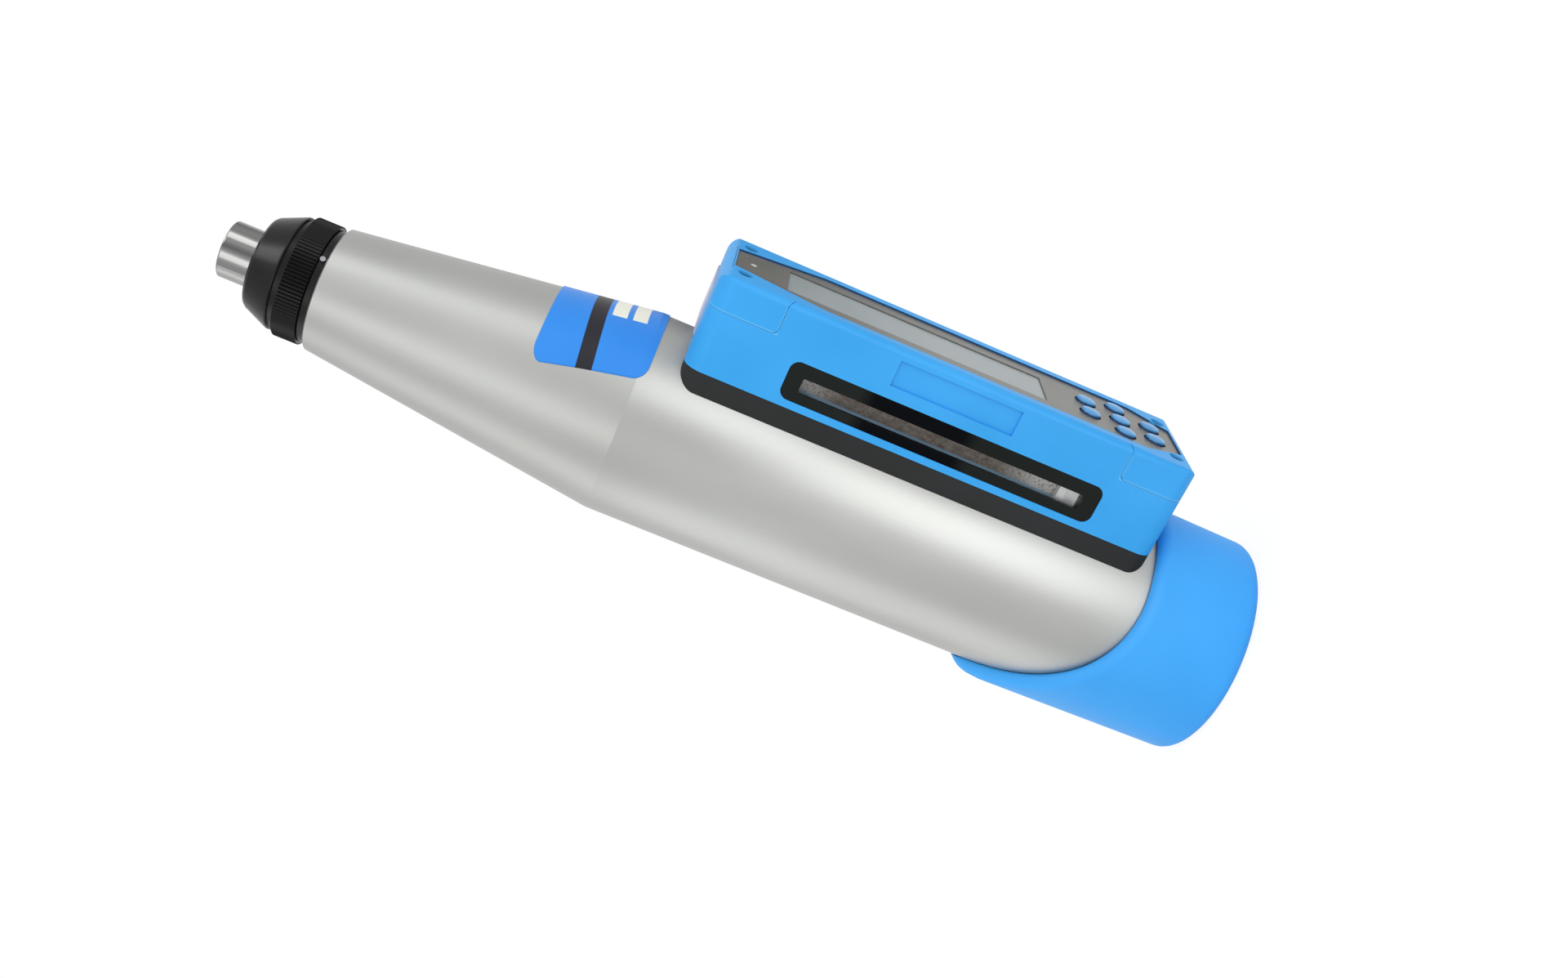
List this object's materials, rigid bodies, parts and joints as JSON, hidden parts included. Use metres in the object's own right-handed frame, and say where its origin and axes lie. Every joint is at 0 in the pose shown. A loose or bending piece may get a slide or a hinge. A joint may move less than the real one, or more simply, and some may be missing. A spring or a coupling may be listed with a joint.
{
  "type": "concrete test hammer",
  "caption": "Hand-held digital rebound hammer for concrete: tapered metal body, sliding plunger, knurled nose cap, blue display module with pointer window and keys, scooped rear cap.",
  "frame": {"origin": "centre of the rear cap's flat end, which the hammer stands on", "axes": "+Z along the hammer's axis towards the plunger tip, +X out of the display, -Y out of the pointer window"},
  "size_m": [0.081, 0.061, 0.277],
  "materials": {
    "housing_metal": "satin, fine bead-blasted and clear anodised",
    "nose_black": "satin black anodised with a straight knurl",
    "plunger_steel": "polished hardened steel",
    "inner_steel": "ground and lightly oiled",
    "bush_bronze": "turned bearing bronze",
    "felt": "pressed felt",
    "label_blue": "printed film, blank",
    "cap_blue": "soft satin moulding",
    "shell_blue": "satin moulding with a fine grain",
    "base_black": "fine grained moulding",
    "frame_black": "gloss black",
    "pane_clear": "clear acrylic",
    "overlay_grey": "printed film, satin",
    "lcd_glass": "clear lens",
    "lcd_grey": "switched-off grey display",
    "led_white": "translucent lens",
    "key_blue": "smooth domed keys",
    "mat_grey": "silicone",
    "board_green": "solder resist",
    "battery_grey": "wrapped cell",
    "strip_metal": "coarse grained",
    "rider_silver": "bright plated",
    "button_black": "satin",
    "flap_grey": "soft flap"
  },
  "bodies": {
    "housing_body": {"housing": "housing_metal", "guide_sleeve": "bush_bronze", "felt_washer": "felt", "nose_cap": "nose_black", "nose_pin": "inner_steel", "name_plate": "label_blue", "rear_cover": "housing_metal", "trip_screw": "inner_steel", "lock_nut": "inner_steel", "rear_cap": "cap_blue", "compression_spring": "inner_steel", "impact_spring": "inner_steel", "button_bush": "inner_steel", "module_base": "base_black", "base_screws": "inner_steel", "module_shell": "shell_blue", "module_lid": "shell_blue", "lid_screws": "inner_steel", "overlay_panel": "overlay_grey", "lcd_window": "lcd_glass", "lcd_panel": "lcd_grey", "status_led": "led_white", "keypad_mat": "mat_grey", "circuit_board": "board_green", "battery": "battery_grey", "port_socket": "inner_steel", "window_frame": "frame_black", "window_pane": "pane_clear", "scale_strip": "strip_metal", "rider_rod": "inner_steel"},
    "carriage": {"plunger": "plunger_steel", "buffer_spring": "inner_steel", "guide_bar": "inner_steel", "guide_disk": "inner_steel", "pawl_pin": "inner_steel"},
    "pawl_body": {"pawl": "inner_steel"},
    "mass_body": {"hammer_mass": "inner_steel"},
    "rider_body": {"rider": "rider_silver"},
    "button_body": {"lock_button": "button_black"},
    "flap_body": {"port_cover": "flap_grey"},
    "key_body_1": {"key_1": "key_blue"},
    "key_body_2": {"key_2": "key_blue"},
    "key_body_3": {"key_3": "key_blue"},
    "key_body_4": {"key_4": "key_blue"},
    "key_body_5": {"key_5": "key_blue"},
    "key_body_6": {"key_6": "key_blue"},
    "key_body_7": {"key_7": "key_blue"}
  },
  "joints": [
    {"name": "plunger_slide", "type": "slide", "parent": "housing_body", "child": "carriage", "axis": [0, 0, 1], "range_m": [0, 0.075], "deforming": ["compression_spring"]},
    {"name": "mass_slide", "type": "slide", "parent": "housing_body", "child": "mass_body", "axis": [0, 0, 1], "range_m": [-0.075, 0], "stiffness_N_per_m": 785, "springref_m": 0.01, "deforming": ["impact_spring"]},
    {"name": "pawl_hinge", "type": "hinge", "parent": "carriage", "child": "pawl_body", "pos_m": [-0.0155, 0, 0.0379], "axis": [0, 1, 0], "range_deg": [0, 18]},
    {"name": "rider_slide", "type": "slide", "parent": "housing_body", "child": "rider_body", "axis": [0, 0, 1], "range_m": [0, 0.07]},
    {"name": "lock_press", "type": "slide", "parent": "housing_body", "child": "button_body", "axis": [0.342, 0.9397, 0], "range_m": [-0.003, 0], "stiffness_N_per_m": 500},
    {"name": "port_flap", "type": "hinge", "parent": "housing_body", "child": "flap_body", "pos_m": [0.0292, 0, 0.1596], "axis": [0, -1, 0], "range_deg": [0, 75]},
    {"name": "key_press_1", "type": "slide", "parent": "housing_body", "child": "key_body_1", "axis": [1, 0, 0], "range_m": [-0.0006, 0], "stiffness_N_per_m": 1500},
    {"name": "key_press_2", "type": "slide", "parent": "housing_body", "child": "key_body_2", "axis": [1, 0, 0], "range_m": [-0.0006, 0], "stiffness_N_per_m": 1500},
    {"name": "key_press_3", "type": "slide", "parent": "housing_body", "child": "key_body_3", "axis": [1, 0, 0], "range_m": [-0.0006, 0], "stiffness_N_per_m": 1500},
    {"name": "key_press_4", "type": "slide", "parent": "housing_body", "child": "key_body_4", "axis": [1, 0, 0], "range_m": [-0.0006, 0], "stiffness_N_per_m": 1500},
    {"name": "key_press_5", "type": "slide", "parent": "housing_body", "child": "key_body_5", "axis": [1, 0, 0], "range_m": [-0.0006, 0], "stiffness_N_per_m": 1500},
    {"name": "key_press_6", "type": "slide", "parent": "housing_body", "child": "key_body_6", "axis": [1, 0, 0], "range_m": [-0.0006, 0], "stiffness_N_per_m": 1500},
    {"name": "key_press_7", "type": "slide", "parent": "housing_body", "child": "key_body_7", "axis": [1, 0, 0], "range_m": [-0.0006, 0], "stiffness_N_per_m": 1500}
  ]
}
